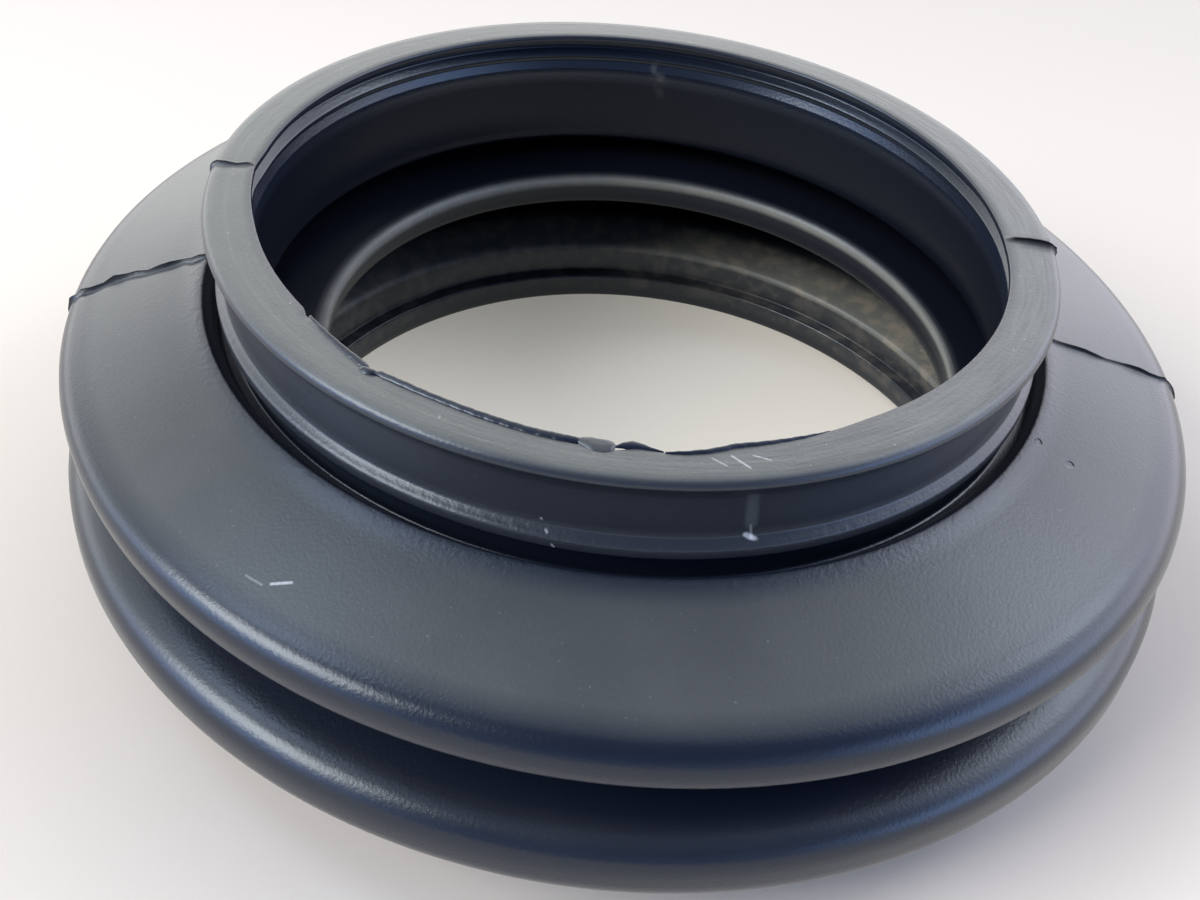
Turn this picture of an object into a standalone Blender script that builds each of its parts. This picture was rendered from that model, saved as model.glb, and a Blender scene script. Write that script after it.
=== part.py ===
"""Swingarm rubber bellows: one moulded ring with a clamp neck at each end and two folds between them.

The ring stands on its lower neck, with the origin on its axis at the floor.
"""
import math

import bmesh
import bpy

MM = 0.001

# Overall
HEIGHT = 42.0 * MM
STEPS = 48

# Upper neck
NECK_BORE = 40.1 * MM
RIM_RADIUS = 45.0 * MM
RIM_DEPTH = 1.2 * MM
RIM_ROUND = 0.9 * MM
SEAT_TOP_RADIUS = 43.85 * MM
SEAT_TOP_Z = 39.5 * MM
SEAT_FOOT_RADIUS = 43.6 * MM
SEAT_FOOT_Z = 34.0 * MM
BEAD_RADIUS = 44.5 * MM
BEAD_WIDTH = 1.7 * MM
MOAT_INNER_RADIUS = 43.4 * MM
MOAT_OUTER_RADIUS = 44.7 * MM
MOAT_FLOOR_Z = 29.0 * MM
MOAT_SLOPE_RADIUS = 44.9 * MM
MOAT_SLOPE_Z = 30.4 * MM
LIP_RADIUS = 46.1 * MM
LIP_Z = 31.75 * MM

# Grooves and ribs inside the upper neck
MOUTH_Z = 41.0 * MM
GROOVE_RADIUS = 41.4 * MM
GROOVE_TOP_Z = 40.5 * MM
GROOVE_FOOT_Z = 39.7 * MM
RIB_RADIUS = 40.3 * MM
RIB_Z = 38.9 * MM
SMALL_GROOVE_RADIUS = 40.9 * MM
SMALL_GROOVE_Z = 38.1 * MM
NECK_WALL_Z = 37.2 * MM
NECK_WALL_RADIUS = 40.6 * MM
NECK_FOOT_Z = 27.0 * MM
NECK_FOOT_ROUND = 0.8 * MM

# Folds
WALL = 2.5 * MM
WEB_WALL = 2.0 * MM
CONE_TOP_Z = 31.0 * MM
CONE_TOP_RADIUS = 47.7 * MM
CREST_1_RADIUS = 61.9 * MM
CREST_1_TOP_Z = 27.0 * MM
CREST_1_FOOT_Z = 23.0 * MM
CREST_1_ROUND = 3.0 * MM
CREST_1_FOOT_ROUND = 1.2 * MM
CREST_1_SOLID = 5.9 * MM
VALLEY_RADIUS = 38.2 * MM
VALLEY_TOP_Z = 22.5 * MM
VALLEY_FOOT_Z = 21.9 * MM
VALLEY_ROUND = 0.24 * MM
RIDGE_WALL = 1.7 * MM
RIDGE_TOP_ROUND = 1.0 * MM
RIDGE_FOOT_ROUND = 1.5 * MM
CREST_2_RADIUS = 63.2 * MM
CREST_2_TOP_Z = 15.0 * MM
CREST_2_FOOT_Z = 8.4 * MM
CREST_2_ROUND = 3.2 * MM
CREST_2_FOOT_ROUND = 3.4 * MM

# Lower neck
LOWER_NECK_RADIUS = 47.0 * MM
LOWER_NECK_Z = 5.4 * MM
LOWER_RIM_RADIUS = 48.0 * MM
LOWER_RIM_DEPTH = 2.6 * MM
LOWER_BORE = 43.2 * MM
STEP_Z = 3.4 * MM
STEP_RADIUS = 44.9 * MM
LEDGE_Z = 7.3 * MM

RUBBER_COLOUR = (0.030, 0.032, 0.036, 1.0)
RUBBER_ROUGHNESS = 0.48


def rounded(corners):
    """Points of a closed outline in the XZ plane from its corners (x, z, radius, cuts).

    A corner with cuts becomes a fillet arc of that radius, and a corner without stays sharp.
    """
    points = []
    count = len(corners)
    for index, (x, z, radius, cuts) in enumerate(corners):
        if cuts == 0:
            points.append((x, z))
            continue
        before = corners[index - 1]
        after = corners[(index + 1) % count]
        to_before = math.atan2(before[1] - z, before[0] - x)
        to_after = math.atan2(after[1] - z, after[0] - x)
        turn = (to_after - to_before + math.pi) % (2.0 * math.pi) - math.pi
        half = abs(turn) / 2.0
        reach = radius / math.sin(half)
        middle = to_before + turn / 2.0
        centre_x = x + reach * math.cos(middle)
        centre_z = z + reach * math.sin(middle)
        start = middle + math.pi + math.copysign(math.pi / 2.0 - half, turn)
        sweep = -math.copysign(math.pi - 2.0 * half, turn)
        for cut in range(cuts + 1):
            angle = start + sweep * cut / cuts
            points.append((centre_x + radius * math.cos(angle), centre_z + radius * math.sin(angle)))
    return points


def cone_z(radius, below):
    """Height of the cone between the lip and the first crest, a wall's depth below its face."""
    fall = (CONE_TOP_Z - CREST_1_TOP_Z) / (CREST_1_RADIUS - CONE_TOP_RADIUS)
    return CONE_TOP_Z - fall * (radius - CONE_TOP_RADIUS) - below * math.hypot(1.0, fall)


def neck_corners():
    """Outside of the upper neck, from its mouth down to the lip around its foot."""
    return [
        (NECK_BORE, HEIGHT, 0.3 * MM, 1),
        (RIM_RADIUS, HEIGHT, RIM_ROUND, 3),
        (RIM_RADIUS, HEIGHT - RIM_DEPTH, 0.25 * MM, 1),
        (SEAT_TOP_RADIUS, SEAT_TOP_Z, 1.0 * MM, 2),
        (SEAT_FOOT_RADIUS, SEAT_FOOT_Z, 0.0, 0),
        (BEAD_RADIUS, SEAT_FOOT_Z - 0.7 * MM, 0.3 * MM, 1),
        (BEAD_RADIUS, SEAT_FOOT_Z - BEAD_WIDTH, 0.4 * MM, 1),
        (MOAT_INNER_RADIUS, SEAT_FOOT_Z - BEAD_WIDTH - 0.5 * MM, 0.0, 0),
        (MOAT_INNER_RADIUS, MOAT_FLOOR_Z, 0.4 * MM, 1),
        (MOAT_OUTER_RADIUS, MOAT_FLOOR_Z, 0.4 * MM, 1),
        (MOAT_SLOPE_RADIUS, MOAT_SLOPE_Z, 0.0, 0),
        (LIP_RADIUS, LIP_Z, 0.2 * MM, 2),
    ]


def fold_corners():
    """Outside of the two folds and of the lower neck, down to the floor."""
    return [
        (CONE_TOP_RADIUS, CONE_TOP_Z, 0.0, 0),
        (CREST_1_RADIUS, CREST_1_TOP_Z, CREST_1_ROUND, 4),
        (CREST_1_RADIUS, CREST_1_FOOT_Z, CREST_1_FOOT_ROUND, 3),
        (VALLEY_RADIUS, VALLEY_TOP_Z, VALLEY_ROUND, 2),
        (VALLEY_RADIUS, VALLEY_FOOT_Z, VALLEY_ROUND, 2),
        (CREST_2_RADIUS, CREST_2_TOP_Z, CREST_2_ROUND, 5),
        (CREST_2_RADIUS, CREST_2_FOOT_Z, CREST_2_FOOT_ROUND, 5),
        (LOWER_NECK_RADIUS, LOWER_NECK_Z, 1.2 * MM, 2),
        (LOWER_NECK_RADIUS, LOWER_RIM_DEPTH + 0.3 * MM, 0.0, 0),
        (LOWER_RIM_RADIUS, LOWER_RIM_DEPTH, 0.4 * MM, 1),
        (LOWER_RIM_RADIUS, 0.0, 0.8 * MM, 2),
    ]


def inside_corners():
    """Inside of the ring, from the lower bore up to the upper mouth."""
    ridge_radius = VALLEY_RADIUS - WALL
    inner_1_radius = CREST_1_RADIUS - CREST_1_SOLID
    inner_1_z = CREST_1_FOOT_Z + WEB_WALL
    inner_2_radius = CREST_2_RADIUS - WALL
    return [
        (LOWER_BORE, 0.0, 0.4 * MM, 1),
        (LOWER_BORE, STEP_Z, 0.4 * MM, 1),
        (STEP_RADIUS, STEP_Z + 0.2 * MM, 0.0, 0),
        (STEP_RADIUS + 0.3 * MM, LEDGE_Z, 0.9 * MM, 2),
        (inner_2_radius, CREST_2_FOOT_Z + WALL, CREST_2_FOOT_ROUND - WALL, 4),
        (inner_2_radius, CREST_2_TOP_Z - WALL, CREST_2_ROUND - WALL, 3),
        (ridge_radius, VALLEY_FOOT_Z - RIDGE_WALL, RIDGE_FOOT_ROUND, 3),
        (ridge_radius, VALLEY_TOP_Z + RIDGE_WALL, RIDGE_TOP_ROUND, 3),
        (inner_1_radius, inner_1_z, 0.4 * MM, 1),
        (inner_1_radius, cone_z(inner_1_radius, WALL), 0.4 * MM, 1),
        (NECK_WALL_RADIUS, NECK_FOOT_Z, NECK_FOOT_ROUND, 3),
        (NECK_WALL_RADIUS - 0.2 * MM, NECK_WALL_Z, 0.3 * MM, 1),
        (SMALL_GROOVE_RADIUS, SMALL_GROOVE_Z, 0.0, 0),
        (SMALL_GROOVE_RADIUS, RIB_Z - 0.4 * MM, 0.0, 0),
        (RIB_RADIUS, RIB_Z, 0.2 * MM, 1),
        (GROOVE_RADIUS, GROOVE_FOOT_Z, 0.25 * MM, 1),
        (GROOVE_RADIUS, GROOVE_TOP_Z, 0.25 * MM, 1),
        (NECK_BORE, MOUTH_Z, 0.0, 0),
    ]


def make_rubber():
    """Black satin rubber."""
    material = bpy.data.materials.new("black_rubber")
    material.use_nodes = True
    shader = material.node_tree.nodes["Principled BSDF"]
    shader.inputs["Base Color"].default_value = RUBBER_COLOUR
    shader.inputs["Roughness"].default_value = RUBBER_ROUGHNESS
    shader.inputs["Metallic"].default_value = 0.0
    return material


def make_bellows(collection, material):
    """The whole bellows: its section turned once around the Z axis."""
    section = bmesh.new()
    outline = rounded(neck_corners() + fold_corners() + inside_corners())
    ring = [section.verts.new((x, 0.0, z)) for x, z in outline]
    for start, end in zip(ring, ring[1:] + ring[:1]):
        section.edges.new((start, end))
    mesh = bpy.data.meshes.new("rubber_bellows")
    section.to_mesh(mesh)
    section.free()
    mesh.materials.append(material)
    bellows = bpy.data.objects.new("rubber_bellows", mesh)
    collection.objects.link(bellows)
    turn = bellows.modifiers.new("Turn", "SCREW")
    turn.axis = "Z"
    turn.angle = 2.0 * math.pi
    turn.steps = STEPS
    turn.render_steps = STEPS
    turn.use_merge_vertices = True
    turn.merge_threshold = 0.01 * MM
    turn.use_smooth_shade = True
    return bellows


for old in list(bpy.data.objects):
    bpy.data.objects.remove(old, do_unlink=True)

parts = bpy.data.collections.new("swingarm_bellows")
bpy.context.scene.collection.children.link(parts)
make_bellows(parts, make_rubber())
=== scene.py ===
"""Swingarm rubber bellows: the finished surface of one moulded ring, on a pale floor in soft light."""

import math

import bpy
import numpy as np
from mathutils import Matrix, Vector


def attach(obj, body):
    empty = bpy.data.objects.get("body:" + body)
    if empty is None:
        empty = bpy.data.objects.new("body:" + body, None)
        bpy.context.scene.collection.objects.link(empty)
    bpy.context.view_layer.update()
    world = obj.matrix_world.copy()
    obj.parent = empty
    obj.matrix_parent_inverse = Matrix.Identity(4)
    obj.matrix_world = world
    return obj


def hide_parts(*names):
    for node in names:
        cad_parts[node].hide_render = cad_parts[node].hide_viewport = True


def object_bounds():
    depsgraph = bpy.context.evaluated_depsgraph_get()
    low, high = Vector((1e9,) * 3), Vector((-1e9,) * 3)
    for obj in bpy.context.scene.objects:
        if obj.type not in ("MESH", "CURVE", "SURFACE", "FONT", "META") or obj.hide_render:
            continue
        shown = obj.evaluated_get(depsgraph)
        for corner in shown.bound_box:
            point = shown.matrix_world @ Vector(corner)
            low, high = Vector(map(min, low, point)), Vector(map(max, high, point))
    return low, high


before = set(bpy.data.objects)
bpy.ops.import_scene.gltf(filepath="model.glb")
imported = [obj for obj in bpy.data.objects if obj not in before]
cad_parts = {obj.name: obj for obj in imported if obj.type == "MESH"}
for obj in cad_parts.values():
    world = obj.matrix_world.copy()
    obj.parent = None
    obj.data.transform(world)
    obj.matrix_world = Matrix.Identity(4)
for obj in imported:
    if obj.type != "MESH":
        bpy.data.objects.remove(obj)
cad_low, cad_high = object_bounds()
MM = 0.001

# The bellows: one ring of black rubber, moulded in a split mould with a clamp neck at each end and two
# folds between them. Its section is turned once round the axis, the mould's parting line stands proud
# at the left and right, and the front of its mouth was only roughly trimmed.
RING_TOP = cad_high.z / MM
RING_RADIUS = cad_high.x / MM
# The rim and the lower crest stay a little inside them, to leave room for the flash and the parting line.
RIM_TOP_Z = RING_TOP - 0.25
CREST_2_RADIUS = RING_RADIUS - 0.1
NECK_BORE = 40.1
RIM_RADIUS = 45.0
RIM_FOOT_Z = 40.8
SEAT_TOP_RADIUS = 43.85
SEAT_TOP_Z = 39.5
SEAT_FOOT_RADIUS = 43.6
SEAT_FOOT_Z = 34.0
BEAD_RADIUS = 44.5
BEAD_FOOT_Z = 32.3
MOAT_INNER_RADIUS = 43.4
MOAT_OUTER_RADIUS = 44.7
MOAT_FLOOR_Z = 29.0
MOAT_SLOPE_RADIUS = 44.9
MOAT_SLOPE_Z = 30.4
LIP_RADIUS = 46.1
LIP_Z = 31.75
CONE_TOP_RADIUS = 47.7
CONE_TOP_Z = 31.0
CREST_1_RADIUS = 61.9
CREST_1_TOP_Z = 27.0
CREST_1_FOOT_Z = 23.0
CREST_1_SOLID = 5.9
VALLEY_RADIUS = 38.2
VALLEY_TOP_Z = 22.5
VALLEY_FOOT_Z = 21.9
RIDGE_WALL = 1.7
CREST_2_TOP_Z = 15.0
CREST_2_FOOT_Z = 8.4
LOWER_NECK_RADIUS = 47.0
LOWER_NECK_Z = 5.4
LOWER_RIM_RADIUS = 48.0
LOWER_RIM_Z = 2.6
LOWER_BORE = 43.2
STEP_Z = 3.4
STEP_RADIUS = 44.9
LEDGE_Z = 7.3
WALL = 2.5
WEB_WALL = 2.0
NECK_WALL_RADIUS = 40.6
NECK_FOOT_Z = 27.0
NECK_WALL_Z = 37.2
SMALL_GROOVE_RADIUS = 40.9
SMALL_GROOVE_Z = 38.1
RIB_RADIUS = 40.3
RIB_Z = 38.9
GROOVE_RADIUS = 41.4
GROOVE_FOOT_Z = 39.7
GROOVE_TOP_Z = 40.5
MOUTH_Z = 41.0


def cone_z(radius, below):
    """Height of the cone at a radius: a straight fall from the lip to the first crest, less a depth
    measured square to its face."""
    fall = (CONE_TOP_Z - CREST_1_TOP_Z) / (CREST_1_RADIUS - CONE_TOP_RADIUS)
    return CONE_TOP_Z - fall * (radius - CONE_TOP_RADIUS) - below * math.hypot(1.0, fall)


def rounded(corners, cuts=12):
    """Closed outline in (radius, height) from its corners (radius, height, fillet).

    Each corner becomes the arc that touches both of its sides: the arc's centre lies on the line that
    halves the corner, fillet / sin(half angle) away, and the arc turns by 180 degrees less the angle.
    """
    corners = np.array(corners)
    here, fillet = corners[:, :2], corners[:, 2, None]
    to_before = np.roll(here, 1, axis=0) - here
    to_after = np.roll(here, -1, axis=0) - here
    to_before /= np.linalg.norm(to_before, axis=1, keepdims=True)
    to_after /= np.linalg.norm(to_after, axis=1, keepdims=True)
    half = 0.5 * np.arccos(np.sum(to_before * to_after, axis=1, keepdims=True))
    inward = to_before + to_after
    inward /= np.linalg.norm(inward, axis=1, keepdims=True)
    across = to_after - to_before
    across /= np.linalg.norm(across, axis=1, keepdims=True)
    centre = here + inward * fillet / np.sin(half)
    angle = (math.pi / 2.0 - half) * np.linspace(-1.0, 1.0, cuts + 1)
    arc = across[:, None] * np.sin(angle)[..., None] - inward[:, None] * np.cos(angle)[..., None]
    return (centre[:, None] + fillet[:, None] * arc).reshape(-1, 2)


def spread(outline, count, turn_share=3.6):
    """The closed outline again with count points.

    They lie closer together where it bends: a step is as long as the side plus turn_share mm for each
    radian that the outline turns.
    """
    side = np.roll(outline, -1, axis=0) - outline
    length = np.hypot(*side.T)
    heading = np.arctan2(side[:, 1], side[:, 0])
    turn = np.abs((heading - np.roll(heading, 1) + math.pi) % (2.0 * math.pi) - math.pi)
    step = length + turn_share * 0.5 * (turn + np.roll(turn, -1))
    place = np.concatenate(([0.0], np.cumsum(step)))
    closed = np.vstack((outline, outline[:1]))
    wanted = np.arange(count) / count * place[-1]
    return np.stack([np.interp(wanted, place, closed[:, axis]) for axis in (0, 1)], axis=1)


def body_outline(count):
    """The ring's section: the upper neck and its lip, the two folds, the lower neck, then the inside."""
    hollow = CREST_1_RADIUS - CREST_1_SOLID
    corners = [
        (NECK_BORE, RIM_TOP_Z, 0.25),
        (RIM_RADIUS, RIM_TOP_Z, 0.9),
        (RIM_RADIUS, RIM_FOOT_Z, 0.25),
        (SEAT_TOP_RADIUS, SEAT_TOP_Z, 1.6),
        (SEAT_FOOT_RADIUS, SEAT_FOOT_Z, 0.4),
        (BEAD_RADIUS, SEAT_FOOT_Z - 0.6, 0.35),
        (BEAD_RADIUS, BEAD_FOOT_Z, 0.35),
        (MOAT_INNER_RADIUS, BEAD_FOOT_Z - 0.5, 0.2),
        (MOAT_INNER_RADIUS, MOAT_FLOOR_Z, 0.4),
        (MOAT_OUTER_RADIUS, MOAT_FLOOR_Z, 0.4),
        (MOAT_SLOPE_RADIUS, MOAT_SLOPE_Z, 0.6),
        (LIP_RADIUS, LIP_Z, 0.35),
        (CONE_TOP_RADIUS, CONE_TOP_Z, 0.8),
        (CREST_1_RADIUS, CREST_1_TOP_Z, 3.0),
        (CREST_1_RADIUS, CREST_1_FOOT_Z, 1.2),
        (VALLEY_RADIUS, VALLEY_TOP_Z, 0.24),
        (VALLEY_RADIUS, VALLEY_FOOT_Z, 0.24),
        (CREST_2_RADIUS, CREST_2_TOP_Z, 3.2),
        (CREST_2_RADIUS, CREST_2_FOOT_Z, 3.4),
        (LOWER_NECK_RADIUS, LOWER_NECK_Z, 1.2),
        (LOWER_NECK_RADIUS, LOWER_RIM_Z + 0.3, 0.2),
        (LOWER_RIM_RADIUS, LOWER_RIM_Z, 0.35),
        (LOWER_RIM_RADIUS, 0.0, 0.8),
        (LOWER_BORE, 0.0, 0.4),
        (LOWER_BORE, STEP_Z, 0.35),
        (STEP_RADIUS, STEP_Z + 0.2, 0.2),
        (STEP_RADIUS + 0.3, LEDGE_Z, 0.9),
        (RING_RADIUS - WALL, CREST_2_FOOT_Z + WALL, 0.9),
        (RING_RADIUS - WALL, CREST_2_TOP_Z - WALL, 0.7),
        (VALLEY_RADIUS - WALL, VALLEY_FOOT_Z - RIDGE_WALL, 1.5),
        (VALLEY_RADIUS - WALL, VALLEY_TOP_Z + RIDGE_WALL, 1.0),
        (hollow, CREST_1_FOOT_Z + WEB_WALL, 0.4),
        (hollow, cone_z(hollow, WALL), 0.4),
        (NECK_WALL_RADIUS, NECK_FOOT_Z, 0.8),
        (NECK_WALL_RADIUS - 0.2, NECK_WALL_Z, 0.3),
        (SMALL_GROOVE_RADIUS, SMALL_GROOVE_Z, 0.2),
        (SMALL_GROOVE_RADIUS, RIB_Z - 0.4, 0.15),
        (RIB_RADIUS, RIB_Z, 0.2),
        (GROOVE_RADIUS, GROOVE_FOOT_Z, 0.2),
        (GROOVE_RADIUS, GROOVE_TOP_Z, 0.2),
        (NECK_BORE, MOUTH_Z, 0.3),
    ]
    return spread(rounded(corners), count)


def bell(distance, width):
    """A smooth hump of height 1 that fades out over a width: exp of minus the squared ratio."""
    return np.exp(-(distance / width) ** 2)


def wrapped(degrees):
    """An angle brought between -180 and 180 degrees."""
    return (degrees + 180.0) % 360.0 - 180.0


def azimuth_lines(count, left_seam, right_seam):
    """Azimuths in degrees of the lines that run down the ring, closest at the two parting lines and
    closer round the front of the mouth: they divide the sum of a density evenly."""
    fine = np.linspace(-270.0, 90.0, 72001)
    at_seams = bell(wrapped(fine - left_seam), 0.9) + bell(wrapped(fine - right_seam), 0.9)
    at_front = bell(wrapped(fine + 105.0), 26.0) ** 0.5
    density = 1.0 + 11.0 * at_seams + 1.3 * at_front
    total = np.concatenate(([0.0], np.cumsum(density[:-1])))
    return np.interp(np.arange(count) / count * total[-1], total, fine)


def station_of(outline, radius, height):
    """How far along the outline the point nearest to a radius and height lies, in mm."""
    side = np.hypot(*np.diff(outline, axis=0).T)
    along = np.concatenate(([0.0], np.cumsum(side)))
    return along[np.argmin(np.hypot(outline[:, 0] - radius, outline[:, 1] - height))]


def grid_mesh(name, points, ends_meet):
    """A mesh from a grid of points [along, around, xyz] in mm: every cell is one four-sided face, and each
    row is closed. The first and last row are joined, or else each is filled by one flat face."""
    rows, columns = points.shape[:2]
    index = np.arange(rows * columns).reshape(rows, columns)
    closed = np.hstack((index, index[:, :1]))
    if ends_meet:
        closed = np.vstack((closed, closed[:1]))
    faces = np.stack((closed[:-1, :-1], closed[1:, :-1], closed[1:, 1:], closed[:-1, 1:]), axis=-1)
    faces = faces.reshape(-1, 4).tolist()
    if not ends_meet:
        faces += [index[0].tolist(), index[-1, ::-1].tolist()]
    mesh = bpy.data.meshes.new(name)
    mesh.from_pydata((points.reshape(-1, 3) * MM).tolist(), [], faces)
    mesh.shade_smooth()
    return mesh


def paint(mesh, name, values):
    """Keeps one number for each point of the mesh under a name that its material reads."""
    layer = mesh.attributes.new(name, "FLOAT", "POINT")
    layer.data.foreach_set("value", values.astype(np.float32).ravel())


LEFT_SEAM = -176.0
RIGHT_SEAM = 1.2
RING_POINTS = 330
RING_LINES = 300
NECK_LEAN = -1.6
FOOT_LEAN = 2.0
RIDGE_LEAN = 1.0


def leaned(points):
    """The points of the ring slid sideways, as soft rubber stands: the neck to the left, the foot to
    the right and the folds not at all, with a smooth change at the heights between."""
    levels = np.array([0.0, 4.0, 11.0, 24.0, 30.0, RING_TOP])
    slide = np.array([FOOT_LEAN, 0.8 * FOOT_LEAN, 0.0, 0.0, 0.8 * NECK_LEAN, NECK_LEAN])
    moved = points.copy()
    moved[..., 0] += np.interp(points[..., 2], levels, slide)
    return moved


def mouth_shift(azimuth):
    """How far the mouth's inner edge stands outside the bore, in mm, at an azimuth in degrees.

    It was trimmed by hand round the front, where it runs out and in again: straight lines join the known
    places (azimuth, shift).
    """
    known = np.array([
        [-180, 0.0], [-175, 0.3], [-160, -0.3], [-137.2, -0.55], [-136.2, -0.5], [-135.2, 0.0],
        [-134, -0.3], [-128, 0.25], [-122, 0.75], [-120.5, 1.15], [-119, 0.75], [-112, 0.5],
        [-105, 0.7], [-98, 0.9], [-92, 1.1], [-88, 1.2], [-85.7, 0.7], [-81.7, 1.15],
        [-77.5, 1.0], [-73.8, 0.35], [-65, 0.2], [-55, -0.3], [-20, -0.35], [0, -0.6],
        [25, -0.5], [60, 0.0], [120, -0.2], [180, 0.0]])
    return np.interp(wrapped(azimuth), known[:, 0], known[:, 1])


outline = body_outline(RING_POINTS)
radius, height = outline.T
side = np.roll(outline, -1, axis=0) - np.roll(outline, 1, axis=0)
side /= np.linalg.norm(side, axis=1, keepdims=True)
normal_out, normal_up = -side[:, 1], side[:, 0]
station = np.concatenate(([0.0], np.cumsum(np.hypot(*np.diff(outline, axis=0).T))))
rim_in = station_of(outline, NECK_BORE, RING_TOP)
rim_out = station_of(outline, RIM_RADIUS, RING_TOP - 1.1)
seat = station_of(outline, SEAT_TOP_RADIUS, 37.0)
moat = station_of(outline, MOAT_INNER_RADIUS, 31.0)
lip = station_of(outline, LIP_RADIUS, LIP_Z)
cone_mid = station_of(outline, 54.0, cone_z(54.0, 0.0))
crest_1 = station_of(outline, CREST_1_RADIUS, 25.0)
valley = station_of(outline, VALLEY_RADIUS, VALLEY_TOP_Z)
crest_2 = station_of(outline, RING_RADIUS, 13.0)
foot = station_of(outline, LOWER_RIM_RADIUS, 1.0)
bore = station_of(outline, LOWER_BORE, 1.5)
mouth_foot = station_of(outline, NECK_WALL_RADIUS, 36.0)

lines = azimuth_lines(RING_LINES, LEFT_SEAM, RIGHT_SEAM)
around = np.tile(lines, (RING_POINTS, 1))
to_left = wrapped(around - LEFT_SEAM)
to_right = wrapped(around - RIGHT_SEAM)

# The two parting lines. At stops from the mouth's edge down to the foot, each has its own shift round the
# ring in degrees, and its height and half width in mm, and it wanders and swells a little on its way.
stops = [rim_in, rim_in + 1.5, rim_out, seat, lip, cone_mid, crest_1, crest_2, foot]
left_path = np.interp(station, stops, [0.2, 0.6, 1.3, 2.0, 3.9, 4.6, 6.6, 1.0, 0.0])
right_path = np.interp(station, stops, [1.3, 1.3, 0.8, -0.4, -1.8, -1.8, -0.6, 0.0, 0.0])
left_height = np.interp(station, stops, [0.06, 0.26, 0.28, 0.1, 0.32, 0.36, 0.32, 0.08, 0.1])
right_height = np.interp(station, stops, [0.05, 0.3, 0.34, 0.12, 0.42, 0.3, 0.34, 0.08, 0.1])
left_width = np.interp(station, stops, [0.16, 0.2, 0.24, 0.2, 0.22, 0.2, 0.2, 0.25, 0.25])
right_width = np.interp(station, stops, [0.2, 0.52, 0.62, 0.25, 0.36, 0.22, 0.26, 0.25, 0.25])
SEAM_REACH = 14.0
GUTTER_DEPTH = 0.09
GUTTER_PLACE = 0.55
GUTTER_WIDTH = 0.3
wander = 0.25 * np.sin(station * 0.9) + 0.16 * np.sin(station * 2.3 + 1.0)
lumps = 1.0 + 0.3 * np.sin(station * 2.1) + 0.25 * np.sin(station * 3.7 + 2.0)
bent = around + (left_path + wander)[:, None] * bell(to_left, SEAM_REACH)
bent = bent + (right_path + wander[::-1])[:, None] * bell(to_right, SEAM_REACH)
on_outside = np.where((station > rim_in + 0.5) & (station < bore), 1.0, 0.0)
arc_mm = radius[:, None] * math.radians(1.0)
left_ridge = bell(to_left * arc_mm, left_width[:, None])
right_ridge = bell(to_right * arc_mm, right_width[:, None])
lift = (on_outside * lumps * left_height)[:, None] * left_ridge
lift = lift + (on_outside * lumps[::-1] * right_height)[:, None] * right_ridge
gutter = bell(to_left * arc_mm - GUTTER_PLACE, GUTTER_WIDTH)
lift = lift - on_outside[:, None] * GUTTER_DEPTH * gutter
# Painted shade along the parting lines, set a little to one side of each ridge.
left_seam_painted_shade = bell(to_left * arc_mm + 0.08, 1.2 * left_width[:, None]) * (0.75 + 0.25 * lumps)[:, None]
right_seam_painted_shade = bell(to_right * arc_mm - 0.05, 1.5 * right_width[:, None])
right_seam_painted_shade = right_seam_painted_shade * (0.75 + 0.25 * lumps[::-1])[:, None]
turned = np.radians(bent)

# Near the mouth's edge the bore follows the hand-trimmed line: 2.5 mm out over the rim's top and 6 mm down.
near_edge = np.interp(station, [0.0, rim_in + 0.1, rim_in + 2.6], [1.0, 1.0, 0.0])
inside_depth = np.where(station > mouth_foot, np.clip((height - 36.0) / 3.5, 0.0, 1.0), 0.0)
edge_share = np.where(station > mouth_foot, inside_depth, near_edge)
ring_radius = radius[:, None] + normal_out[:, None] * lift + edge_share[:, None] * mouth_shift(bent)
ring_height = height[:, None] + normal_up[:, None] * lift
points = np.stack((ring_radius * np.cos(turned), ring_radius * np.sin(turned), ring_height), axis=-1)
points = leaned(points)
on_inside = (station > bore) & (station < mouth_foot)
points[..., 0] += (RIDGE_LEAN * on_inside * bell(height - VALLEY_TOP_Z, 3.0))[:, None]
limit = RING_RADIUS - 0.01
points[..., 0] = np.clip(points[..., 0], -limit, limit)
points[..., 2] = np.clip(points[..., 2], 0.0, RING_TOP)
body_mesh = grid_mesh("bellows_body", points, ends_meet=True)

# What lies on the skin, as numbers that the rubber reads: the pale layer, which is dusty bloom together with
# painted sheen and painted highlights; the wiped rim's brushing; the dirt inside together with a painted
# reflection; the coarse moulded skin; and the painted shade, a dark matt shader mixed in along the parting
# lines and deep inside.
# How much of the pale layer each place gets: bloom with painted sheen on the rim, the cone, the lower fold
# and the neck, a painted highlight on the ridge's top, painted light on the lower step and the moat's outer
# slope, and dust with a painted reflection on the ledge.
RIM_BLOOM_AND_SHEEN = 0.44
CONE_BLOOM_AND_SHEEN = 0.26
LOWER_FOLD_BLOOM_AND_SHEEN = 0.1
NECK_BLOOM_AND_SHEEN = 0.65
RIDGE_PAINTED_HIGHLIGHT = 1.5
STEP_PAINTED_LIGHT = 0.12
LEDGE_DUST_AND_REFLECTION = 0.9
SLOPE_PAINTED_LIGHT = 0.22
RIDGE_TOP_Z = 23.5
RIDGE_EDGE = 36.6
# Painted shade deep inside the ring: how much of a dark matt shader goes into the hollow and into the neck's
# wall.
SHADE_HOLLOW = 0.8
SHADE_NECK = 0.55

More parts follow.
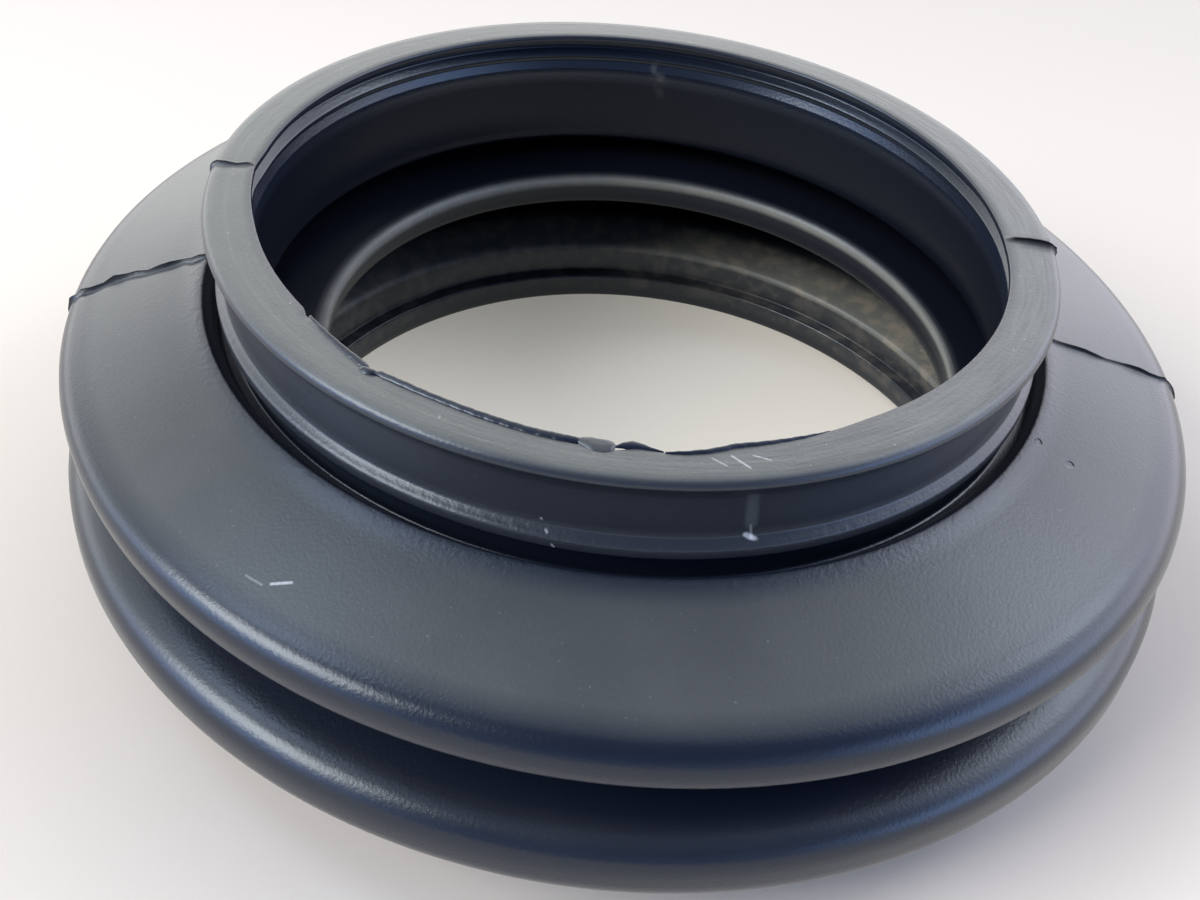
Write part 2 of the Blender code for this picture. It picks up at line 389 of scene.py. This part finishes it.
facing_up = np.clip((normal_up - 0.55) / 0.4, 0.0, 1.0)
on_rim = np.interp(station, [rim_in, rim_in + 0.4, rim_out - 0.9, rim_out - 0.2], [0.0, 1.0, 1.0, 0.0])
on_neck = np.interp(station, [rim_out, seat, moat - 1.0, moat], [0.1, 0.12, 0.12, 0.0])
on_slope = bell(station - station_of(outline, 45.4, 31.0), 0.7)
on_cone = np.interp(radius, [46.4, 48.5, 57.6, 60.4], [0.0, 0.8, 1.0, 0.0])
on_cone = on_cone * np.where((station > lip) & (station < crest_1), 1.0, 0.0)
on_crest_2 = np.where((station > valley) & (station < foot), 1.0, 0.0)
on_crest_2 = on_crest_2 * np.interp(radius, [59.0, 62.0], [0.0, 1.0])
at_ridge = np.where(radius < RIDGE_EDGE, 1.0, 0.0)
on_ridge = on_inside * at_ridge * bell(height - RIDGE_TOP_Z, 0.45)
on_step = np.where((station > bore) & (height < 7.0), 1.0, 0.0)
on_ledge = on_inside * np.where((height > 6.6) & (height < 9.5), 1.0, 0.0)
on_ledge = on_ledge * np.interp(radius, [50.0, 52.0], [1.0, 0.0])
# On the rim, the cone and the lower fold the pale layer lies only on faces that look up: bloom and dust with
# painted sheen. On the neck, the ridge, the slope, the step and the ledge it lies whatever way they face:
# painted sheen, highlight, light and reflection, with dust on the ledge.
bloom_and_light_here = facing_up * (RIM_BLOOM_AND_SHEEN * on_rim + CONE_BLOOM_AND_SHEEN * on_cone + LOWER_FOLD_BLOOM_AND_SHEEN * on_crest_2)
bloom_and_light_here = bloom_and_light_here + NECK_BLOOM_AND_SHEEN * on_neck + RIDGE_PAINTED_HIGHLIGHT * on_ridge + SLOPE_PAINTED_LIGHT * on_slope
bloom_and_light_here = bloom_and_light_here + STEP_PAINTED_LIGHT * on_step + LEDGE_DUST_AND_REFLECTION * on_ledge
# The pale layer is left off the parting lines' ridges, so they read dark: painted shade.
on_seams = np.clip(on_outside[:, None] * (left_ridge + right_ridge), 0.0, 1.0)
rough_bead = bell(station - station_of(outline, BEAD_RADIUS, 33.2), 1.3)
rough_lip = bell(station - lip - 0.6, 1.1)
# Painted shade inside the ring above the lower fold, left off the ridge's top.
in_shade = np.where(radius > 42.0, SHADE_HOLLOW, SHADE_NECK)
in_shade = in_shade * on_inside * np.interp(height, [16.0, 18.0], [0.0, 1.0])
in_shade = in_shade * (1.0 - at_ridge * bell(height - RIDGE_TOP_Z, 0.7))
seams_painted_shade = on_outside[:, None] * (left_seam_painted_shade + right_seam_painted_shade)
all_round = np.ones(RING_LINES)
paint(body_mesh, "bloom_and_painted_light", bloom_and_light_here[:, None] * (1.0 - on_seams))
paint(body_mesh, "grain", np.outer(rough_bead + rough_lip, all_round))
paint(body_mesh, "brushed", np.outer(on_rim * facing_up, all_round))
# Brown mottle on the ledge, the lower step and the ridge: dirt together with a painted reflection.
paint(body_mesh, "stain_and_reflection", np.outer(on_ledge + 0.3 * on_step + 0.4 * on_ridge, all_round))
paint(body_mesh, "painted_shade", np.clip(seams_painted_shade + in_shade[:, None], 0.0, 1.0))


class Socket:
    """An output socket that takes part in Python sums: every operator adds one Math node."""

    def __init__(self, finish, socket):
        self.finish = finish
        self.socket = socket

    def maths(self, operation, first, second=0.0):
        """One Math node on two numbers or sockets."""
        return self.finish.node("ShaderNodeMath", {"operation": operation}, {0: first, 1: second})

    def size(self):
        """The number without its sign."""
        return self.maths("ABSOLUTE", self)

    def __add__(self, other):
        return self.maths("ADD", self, other)

    def __radd__(self, other):
        return self.maths("ADD", other, self)

    def __sub__(self, other):
        return self.maths("SUBTRACT", self, other)

    def __rsub__(self, other):
        return self.maths("SUBTRACT", other, self)

    def __mul__(self, other):
        return self.maths("MULTIPLY", self, other)

    def __rmul__(self, other):
        return self.maths("MULTIPLY", other, self)


class Finish:
    """The nodes of one material or of the room, added one by one and read as Sockets."""

    def __init__(self, owner):
        owner.use_nodes = True
        self.tree = owner.node_tree
        self.tree.nodes.clear()

    def node(self, kind, settings, sockets, output=0):
        """Adds a node, sets its settings and then its sockets, and returns one of its outputs."""
        made = self.tree.nodes.new(kind)
        for name, value in settings.items():
            setattr(made, name, value)
        for name, value in sockets.items():
            if isinstance(value, Socket):
                self.tree.links.new(value.socket, made.inputs[name])
            else:
                made.inputs[name].default_value = value
        return Socket(self, made.outputs[output] if made.outputs else None)

    def place(self):
        """The point on the piece, in metres."""
        return self.node("ShaderNodeTexCoord", {}, {}, "Object")

    def stored(self, name):
        """A number that the mesh keeps for each point."""
        return self.node("ShaderNodeAttribute", {"attribute_name": name}, {}, "Fac")

    def scaled(self, vector, factor):
        """A vector or colour times a number."""
        return self.node("ShaderNodeVectorMath", {"operation": "SCALE"}, {0: vector, "Scale": factor})

    def vector(self, operation, first, second, output=0):
        """One Vector Math node on two vectors or sockets."""
        return self.node("ShaderNodeVectorMath", {"operation": operation}, {0: first, 1: second}, output)

    def speckle(self, size, detail=2.0):
        """Soft noise around 0.5, with blots of about a size in mm."""
        sockets = {"Vector": self.place(), "Scale": 1.0 / (size * MM), "Detail": detail}
        return self.node("ShaderNodeTexNoise", {}, sockets)

    def band(self, value, low, high):
        """0 below low, 1 above high, and a smooth climb between them."""
        settings = {"interpolation_type": "SMOOTHSTEP"}
        sockets = {"Value": value, "From Min": low, "From Max": high}
        return self.node("ShaderNodeMapRange", settings, sockets)

    def mixed(self, factor, first, second):
        """One colour faded into another by a factor."""
        settings = {"data_type": "RGBA"}
        return self.node("ShaderNodeMix", settings, {0: factor, 6: first, 7: second}, 2)


RUBBER = (0.0040, 0.0062, 0.0130, 1.0)
# The pale colour of the bloom, which also carries the painted sheen, highlights, light and reflection.
BLOOM_AND_LIGHT_COLOUR = (0.134, 0.138, 0.122, 1.0)
# Brown of the dirt inside, which also carries a painted reflection.
STAIN_AND_REFLECTION = (0.24, 0.21, 0.165, 1.0)
SCRATCH = (0.42, 0.44, 0.45, 1.0)
PAINTED_SHADE_COLOUR = (0.003, 0.0035, 0.005, 1.0)
GLOSS_TINT = (0.84, 0.93, 1.0, 1.0)
RUBBER_IOR = 1.47
ROUGH_CLEAN = 0.27
ROUGH_FILM = 0.2
ROUGH_PATCHES = 0.06
ROUGH_GRAIN = 0.06
RELIEF = 0.06


def on_ring(azimuth, radius, height):
    """A point of the leaning ring, in metres, from its azimuth in degrees, radius and height in mm."""
    angle = math.radians(azimuth)
    return leaned(np.array([radius * math.cos(angle), radius * math.sin(angle), height])) * MM


def on_cone_at(azimuth, radius):
    """A point of the cone's face."""
    return on_ring(azimuth, radius, cone_z(radius, 0.0))


def stroke(finish, start, end, width):
    """1 along a straight scratch, fading out between a quarter and three quarters of its width in mm away:
    the distance to the segment between two points is that to the start plus the clamped share of the way."""
    way = end - start
    offset = finish.vector("SUBTRACT", finish.place(), tuple(start))
    share = finish.vector("DOT_PRODUCT", offset, tuple(way / np.dot(way, way)), "Value")
    share = finish.node("ShaderNodeClamp", {}, {"Value": share})
    distance = finish.vector("DISTANCE", offset, finish.scaled(tuple(way), share), "Value")
    return 1.0 - finish.band(distance, 0.25 * width * MM, 0.75 * width * MM)


black_rubber = bpy.data.materials.new("black_rubber")
rubber = Finish(black_rubber)
bloom_and_painted_light = rubber.stored("bloom_and_painted_light")
grain = rubber.stored("grain")
brushed = rubber.stored("brushed")
stain_and_reflection = rubber.stored("stain_and_reflection")
patches = rubber.speckle(9.0, 3.0)
fine = rubber.speckle(0.35, 2.0)
coarse = rubber.speckle(0.8, 3.0)
mottle = rubber.band(rubber.speckle(2.2, 4.0), 0.42, 0.66)

# On top of the rim the pale layer is brushed round the ring: noise that is read quickly across the rim and
# slowly round it, and one faint paler line near its outer side, a painted highlight along a faint step.
BRUSH_WIDTH = 0.3
PALE_LINE_RADIUS = 42.6
from_axis = rubber.vector("SUBTRACT", rubber.place(), (NECK_LEAN * MM, 0.0, 0.0))
from_axis = rubber.vector("MULTIPLY", from_axis, (1.0, 1.0, 0.0))
reach = rubber.vector("LENGTH", from_axis, (0.0, 0.0, 0.0), "Value")
heading = rubber.vector("NORMALIZE", from_axis, (0.0, 0.0, 0.0))
rounds = rubber.node("ShaderNodeCombineXYZ", {}, {"Z": reach * (1.0 / (BRUSH_WIDTH * MM))})
brushed_place = rubber.vector("ADD", rubber.vector("MULTIPLY", heading, (9.0, 9.0, 0.0)), rounds)
sockets = {"Vector": brushed_place, "Scale": 1.0, "Detail": 3.0}
brush = rubber.node("ShaderNodeTexNoise", {}, sockets)
pale_line = 1.0 - rubber.band((reach - PALE_LINE_RADIUS * MM).size(), 0.06 * MM, 0.3 * MM)

# The marks: scratches on the cone, the neck and the rim as rows (start, end, width in mm, strength), two
# dents on the cone at the right, and a smear on the far inner wall.
DENT_WIDTH = 0.7
SCRATCHES = [
    (on_cone_at(-118.7, 56.4), on_cone_at(-117.2, 55.4), 0.28, 0.8),
    (on_cone_at(-121.2, 57.0), on_cone_at(-119.4, 56.9), 0.22, 0.3),
    (on_ring(-95.9, 43.7, 34.7), on_ring(-94.1, 44.5, 32.4), 0.24, 0.5),
    (on_ring(-72.3, 43.7, 34.3), on_ring(-70.8, 43.7, 33.5), 0.5, 0.9),
    (on_ring(-71.9, 43.8, 35.4), on_ring(-71.6, 43.7, 34.0), 0.3, 0.5),
    (on_ring(-77.0, 41.9, RIM_TOP_Z), on_ring(-75.6, 42.9, RIM_TOP_Z), 0.16, 0.5),
    (on_ring(-74.6, 41.7, RIM_TOP_Z), on_ring(-73.0, 43.3, RIM_TOP_Z), 0.2, 0.6),
    (on_ring(-72.0, 41.8, RIM_TOP_Z), on_ring(-70.2, 42.6, RIM_TOP_Z), 0.16, 0.5),
    (on_ring(-72.3, 44.1, 38.8), on_ring(-71.9, 43.7, 35.6), 1.1, 0.09),
]
DENTS = [
    (on_ring(-24.4, 47.0, 31.3), on_ring(-24.1, 47.1, 31.3)),
    (on_cone_at(-24.4, 50.6), on_cone_at(-24.2, 50.7)),
]
SMEAR = (on_ring(90.2, 40.4, 38.0), on_ring(88.8, 40.4, 34.2), 1.6)
scratches = 0.0
for start, end, width, strength in SCRATCHES:
    scratches = scratches + strength * stroke(rubber, start, end, width)
dents = 0.0
for start, end in DENTS:
    dents = dents + stroke(rubber, start, end, DENT_WIDTH)
smear = stroke(rubber, *SMEAR) * mottle
dust = rubber.band(rubber.speckle(0.4, 0.0), 0.835, 0.87)
sideways = rubber.node("ShaderNodeSeparateXYZ", {}, {0: rubber.place()})
on_right = rubber.band(sideways, -0.006, 0.02)

# The pale layer's share: bloom and dust together with painted sheen, highlights and reflection, blotchy,
# brushed on the rim, with a smear.
bloom_and_light_share = bloom_and_painted_light * (0.72 + 0.56 * patches) * (0.86 + 0.28 * fine)
strokes = (brush - 0.5) * (0.15 + 0.95 * on_right)
bloom_and_light_share = bloom_and_light_share * (1.0 + brushed * (strokes + 0.14 * pale_line)) + 0.45 * smear
clean = rubber.mixed(bloom_and_light_share, RUBBER, BLOOM_AND_LIGHT_COLOUR)
# The brown mottle inside: dirt together with a painted reflection.
stained_and_reflecting = rubber.mixed(stain_and_reflection * mottle * 0.6, clean, STAIN_AND_REFLECTION)
wear = scratches * (0.3 + 0.9 * fine) + 0.4 * dust * bloom_and_painted_light
worn = rubber.node("ShaderNodeClamp", {}, {"Value": wear})
colour = rubber.mixed(worn, stained_and_reflecting, SCRATCH)
rise = 0.4 * fine + grain * coarse + 0.5 * brushed * brush - 3.0 * dents
bump = rubber.node("ShaderNodeBump", {}, {"Height": rise, "Distance": RELIEF * MM})
skin = rubber.node("ShaderNodeBsdfPrincipled", {}, {
    "Base Color": colour,
    "Roughness": ROUGH_CLEAN + ROUGH_FILM * bloom_and_painted_light + ROUGH_PATCHES * patches + ROUGH_GRAIN * grain,
    "IOR": RUBBER_IOR,
    "Specular Tint": GLOSS_TINT,
    "Normal": bump,
})
# Painted shade: a plain dark matt shader mixed in by the painted shade number, along the parting lines and
# deep inside.
painted_shade_shader = rubber.node("ShaderNodeBsdfDiffuse", {}, {"Color": PAINTED_SHADE_COLOUR})
deep = rubber.node("ShaderNodeMixShader", {}, {0: rubber.stored("painted_shade"), 1: skin, 2: painted_shade_shader})
rubber.node("ShaderNodeOutputMaterial", {}, {"Surface": deep})


def add_piece(name, mesh):
    """A finished mesh of the black rubber, put into the scene to ride with the ring."""
    mesh.materials.append(black_rubber)
    piece = bpy.data.objects.new(name, mesh)
    bpy.context.scene.collection.objects.link(piece)
    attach(piece, "root")
    return piece


body = add_piece("bellows_body", body_mesh)
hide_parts("rubber_bellows")

# The flash: thin fins of the same rubber that squeezed out between the mould's halves round the front of
# the mouth. They grow from its inner edge and were torn off unevenly, with a knot, a flap and a bump left.
FLASH_MIDDLE_Z = 41.62
FLASH_GRAIN = 0.15


def flash_strip(name, stations, turn_down):
    """A closed strip along the mouth's edge from rows (azimuth, radius, half width, half height, rise).

    At each azimuth its section is an ellipse of 26 points, turned down towards the bore by an angle in
    degrees. The rows are joined by straight interpolation at every 0.25 degree.
    """
    rows = np.array(stations, dtype=float)
    azimuth = np.arange(rows[0, 0], rows[-1, 0] + 0.125, 0.25)[:, None]
    middle, wide, tall, rise = [np.interp(azimuth, rows[:, 0], rows[:, k]) for k in (1, 2, 3, 4)]
    middle = middle + 0.02 * np.sin(azimuth * 2.9) + 0.01 * np.sin(azimuth * 6.7)
    section = np.linspace(0.0, 2.0 * math.pi, 26, endpoint=False)
    across = wide * np.cos(section)
    above = tall * np.sin(section)
    tilt = math.radians(turn_down)
    strip_radius = middle + across * math.cos(tilt) + above * math.sin(tilt)
    strip_z = FLASH_MIDDLE_Z + rise - across * math.sin(tilt) + above * math.cos(tilt)
    angle = np.radians(azimuth)
    points = np.stack((strip_radius * np.cos(angle), strip_radius * np.sin(angle), strip_z), axis=-1)
    points = leaned(points)
    points[..., 2] = np.minimum(points[..., 2], RING_TOP)
    return grid_mesh(name, points, ends_meet=False)


def add_flash(name, stations, film_level=0.0, turn_down=18.0):
    """One piece of flash, with one level of the pale layer all over and nothing else on it but a little
    grain.
    """
    mesh = flash_strip(name, stations, turn_down)
    all_over = np.ones(len(mesh.vertices))
    paint(mesh, "bloom_and_painted_light", film_level * all_over)
    paint(mesh, "grain", FLASH_GRAIN * all_over)
    for absent in ("brushed", "stain_and_reflection", "painted_shade"):
        paint(mesh, absent, 0.0 * all_over)
    add_piece(name, mesh)


add_flash("flash_fin_left", [
    (-134.6, 39.85, 0.16, 0.10, 0.06), (-131.0, 40.1, 0.26, 0.16, 0.1), (-127.0, 40.35, 0.32, 0.18, 0.1),
    (-123.0, 40.65, 0.4, 0.22, 0.1), (-121.4, 40.85, 0.36, 0.26, 0.08), (-120.9, 40.95, 0.12, 0.1, 0.0)])
add_flash("flash_knot", [
    (-122.2, 41.15, 0.12, 0.1, 0.02), (-121.6, 41.2, 0.42, 0.28, 0.06), (-120.8, 41.15, 0.5, 0.34, 0.02),
    (-120.0, 41.0, 0.42, 0.3, 0.04), (-119.5, 40.9, 0.12, 0.1, 0.0)])
add_flash("flash_fin_middle", [
    (-120.2, 40.75, 0.12, 0.1, 0.02), (-119.4, 40.65, 0.34, 0.22, 0.08), (-116.0, 40.5, 0.36, 0.24, 0.1),
    (-110.0, 40.45, 0.34, 0.22, 0.1), (-104.0, 40.6, 0.38, 0.24, 0.1), (-98.0, 40.85, 0.4, 0.24, 0.1),
    (-95.0, 40.9, 0.42, 0.26, 0.1), (-92.6, 40.85, 0.3, 0.2, 0.1), (-92.0, 40.85, 0.1, 0.08, 0.08)])
add_flash("flash_flap", [
    (-93.2, 40.75, 0.12, 0.1, 0.12), (-92.2, 40.9, 0.45, 0.18, 0.16), (-91.0, 41.15, 0.78, 0.24, 0.16),
    (-89.4, 41.25, 0.82, 0.26, 0.12), (-88.6, 41.1, 0.6, 0.2, 0.14), (-88.2, 40.95, 0.12, 0.08, 0.12)],
    film_level=0.22, turn_down=8.0)
add_flash("flash_bump", [
    (-88.3, 40.95, 0.1, 0.08, 0.08), (-87.4, 40.75, 0.3, 0.2, 0.1), (-86.2, 40.6, 0.46, 0.3, 0.08),
    (-85.0, 40.75, 0.34, 0.22, 0.08), (-83.6, 40.95, 0.14, 0.12, 0.08), (-82.6, 41.15, 0.08, 0.08, 0.04)])
add_flash("flash_thread", [
    (-82.4, 41.25, 0.1, 0.12, 0.08), (-80.0, 41.25, 0.2, 0.22, 0.1), (-77.0, 41.0, 0.24, 0.24, 0.1),
    (-73.6, 40.45, 0.26, 0.24, 0.1), (-69.0, 40.35, 0.2, 0.18, 0.1), (-64.5, 40.25, 0.14, 0.14, 0.08),
    (-61.0, 40.15, 0.06, 0.06, 0.04)])

# The floor: a plain pale sheet under the ring, a little darker towards the back by painted shade. What shows
# of it through the bore, and in the rubber, glows a little lighter than the lamps make it: painted light,
# with less of it towards the bore's far side as painted shade.
FLOOR_SIDE = 6.0
FLOOR_COLOUR = (0.54, 0.502, 0.448)
GLOW_COLOUR = (0.8, 0.77, 0.67)
GLOW_INSIDE = 0.49
GLOW_MIRRORED = 0.3
# Painted shade: how much less glow at the bore's far side, and how much darker the floor is towards the
# back.
DARKER_INSIDE = 0.45
DARKER_BACK = 0.14

half_side = FLOOR_SIDE / 2.0
floor_corners = [(-half_side, -half_side, 0.0), (half_side, -half_side, 0.0),
                 (half_side, half_side, 0.0), (-half_side, half_side, 0.0)]
floor_mesh = bpy.data.meshes.new("floor")
floor_mesh.from_pydata(floor_corners, [], [(0, 1, 2, 3)])
pale_floor = bpy.data.materials.new("pale_floor")
pale = Finish(pale_floor)
seen_straight = pale.node("ShaderNodeLightPath", {}, {}, "Is Camera Ray")
seen_mirrored = pale.node("ShaderNodeLightPath", {}, {}, "Is Glossy Ray")
floor_reach = pale.vector("LENGTH", pale.place(), (0.0, 0.0, 0.0), "Value")
floor_back = pale.node("ShaderNodeSeparateXYZ", {}, {0: pale.place()}, 1)
inside_ring = 1.0 - pale.band(floor_reach, LOWER_BORE * MM, LOWER_RIM_RADIUS * MM)
far_inside = pale.band(floor_back, -0.005, 0.045)
far_floor = pale.band(floor_back, 0.0, 0.2)
glow_inside = GLOW_INSIDE * inside_ring * (1.0 - DARKER_INSIDE * far_inside)
strength = (seen_straight + seen_mirrored) * glow_inside + GLOW_MIRRORED * seen_mirrored
paper = (pale.speckle(1.2, 3.0) * 0.03 + 0.985) * (1.0 - DARKER_BACK * far_floor)
lit = pale.node("ShaderNodeBsdfDiffuse", {}, {"Color": pale.scaled(FLOOR_COLOUR, paper)})
glow = pale.node("ShaderNodeEmission", {}, {"Color": pale.scaled(GLOW_COLOUR, strength)})
both = pale.node("ShaderNodeAddShader", {}, {0: lit, 1: glow})
pale.node("ShaderNodeOutputMaterial", {}, {"Surface": both})
floor_mesh.materials.append(pale_floor)
floor = bpy.data.objects.new("floor", floor_mesh)
bpy.context.scene.collection.objects.link(floor)

# The light: a pale room, bright behind the ring and at its right, dimmer at its left, dark and bluish in
# front. A broad window lights it from the left, with a small skylight and a small window at the right.
ROOM_FRONT = 0.26
ROOM_BACK = 3.0
ROOM_LEFT = 1.2
ROOM_RIGHT = 3.5
ROOM_TOP = 0.6
FRONT_TINT = (0.55, 0.76, 1.3, 1.0)
LEFT_TINT = (1.0, 0.985, 0.95, 1.0)
RIGHT_TINT = (0.97, 0.95, 1.06, 1.0)
SEEN_ROOM = (0.90, 0.88, 0.85, 1.0)

world = bpy.data.worlds.new("room")
room = Finish(world)
compass = room.node("ShaderNodeTexCoord", {}, {}, "Generated")
rightward, backward, upward = [
    room.node("ShaderNodeSeparateXYZ", {}, {0: compass}, axis) for axis in range(3)]
leftward = 0.0 - rightward
back = room.band(backward, -0.05, 0.55)
aloft = room.band(upward, 0.35, 0.85)
near_floor = 1.0 - room.band(upward, 0.25, 0.5)
left_side = room.band(leftward, 0.35, 0.95) * (1.0 + 1.8 * near_floor)
right_side = room.band(rightward, 0.35, 0.95) * room.band(backward + 0.5 * near_floor, -0.45, 0.15)
overhead = aloft * room.band(backward, -0.25, 0.1)
sides = ROOM_LEFT * left_side + ROOM_RIGHT * right_side + ROOM_TOP * overhead
to_corner = 0.8 + 0.2 * room.band(rightward, -0.4, 0.4)
low_left = near_floor * room.band(leftward, -0.2, 0.5)
behind = ROOM_BACK * back * to_corner * (1.0 - 0.68 * aloft + 0.35 * low_left)
room_level = ROOM_FRONT * (1.0 + 1.3 * near_floor) + behind + (1.0 - back) * sides
tint = room.mixed(room.band(rightward, -0.2, 0.8), LEFT_TINT, RIGHT_TINT)
tint = room.mixed(room.band(backward, -0.4, 0.3), FRONT_TINT, tint)
lit_room = room.node("ShaderNodeBackground", {}, {"Color": tint, "Strength": room_level})
plain_room = room.node("ShaderNodeBackground", {}, {"Color": SEEN_ROOM})
camera_ray = room.node("ShaderNodeLightPath", {}, {}, "Is Camera Ray")
seen = room.node("ShaderNodeMixShader", {}, {0: camera_ray, 1: lit_room, 2: plain_room})
room.node("ShaderNodeOutputWorld", {}, {"Surface": seen})
bpy.context.scene.world = world

AIM = Vector((0.0, 0.0, RING_TOP * MM / 2.0))
PANEL_DISTANCE = 1.5
# Rows (name, azimuth and elevation in degrees, width and height in metres, radiance, colour).
PANELS = [
    ("window", -150.0, 34.0, 0.85, 0.7, 15.0, (1.0, 0.97, 0.93)),
    ("skylight", 172.0, 60.0, 0.36, 0.36, 8.0, (0.72, 0.88, 1.15)),
    ("side_window", 25.0, 42.0, 0.45, 0.45, 7.0, (0.92, 0.96, 1.06)),
]


def panel(name, azimuth, elevation, width, height, radiance, colour):
    """A rectangular area light that faces the ring, from its direction in degrees and its size in metres.
    Its power is pi times its radiance and area."""
    lamp = bpy.data.lights.new(name, "AREA")
    lamp.shape = "RECTANGLE"
    lamp.size = width
    lamp.size_y = height
    lamp.energy = math.pi * radiance * width * height
    lamp.color = colour
    made = bpy.data.objects.new(name, lamp)
    bpy.context.scene.collection.objects.link(made)
    turn = math.radians(azimuth)
    climb = math.radians(elevation)
    level_share = math.cos(climb)
    away = Vector((math.cos(turn) * level_share, math.sin(turn) * level_share, math.sin(climb)))
    made.location = AIM + away * PANEL_DISTANCE
    made.rotation_mode = "QUATERNION"
    made.rotation_quaternion = (-away).to_track_quat("-Z", "Y")


for row in PANELS:
    panel(*row)
bpy.context.scene.view_settings.view_transform = "Standard"

# The camera: held close over the front of the ring, looking down at it by about 40 degrees and tilted a
# little to one side. Its angles are in radians.
CAMERA_PLACE = Vector((0.0, -0.12871, 0.11624))
CAMERA_YAW = -0.0182
CAMERA_PITCH = 0.70786
CAMERA_ROLL = 0.12011
CAMERA_LENS = 41.148

level_share = math.cos(CAMERA_PITCH)
ahead = Vector((math.sin(CAMERA_YAW) * level_share, math.cos(CAMERA_YAW) * level_share,
                -math.sin(CAMERA_PITCH)))
level = Vector((math.cos(CAMERA_YAW), -math.sin(CAMERA_YAW), 0.0))
upright = level.cross(ahead)
right = math.cos(CAMERA_ROLL) * level + math.sin(CAMERA_ROLL) * upright
up = math.cos(CAMERA_ROLL) * upright - math.sin(CAMERA_ROLL) * level
lens = bpy.data.cameras.new("camera")
lens.sensor_width = 36.0
lens.lens = CAMERA_LENS
lens.clip_start = 0.01
camera = bpy.data.objects.new("camera", lens)
bpy.context.scene.collection.objects.link(camera)
camera.matrix_world = Matrix.Translation(CAMERA_PLACE) @ Matrix((right, up, -ahead)).transposed().to_4x4()
bpy.context.scene.camera = camera
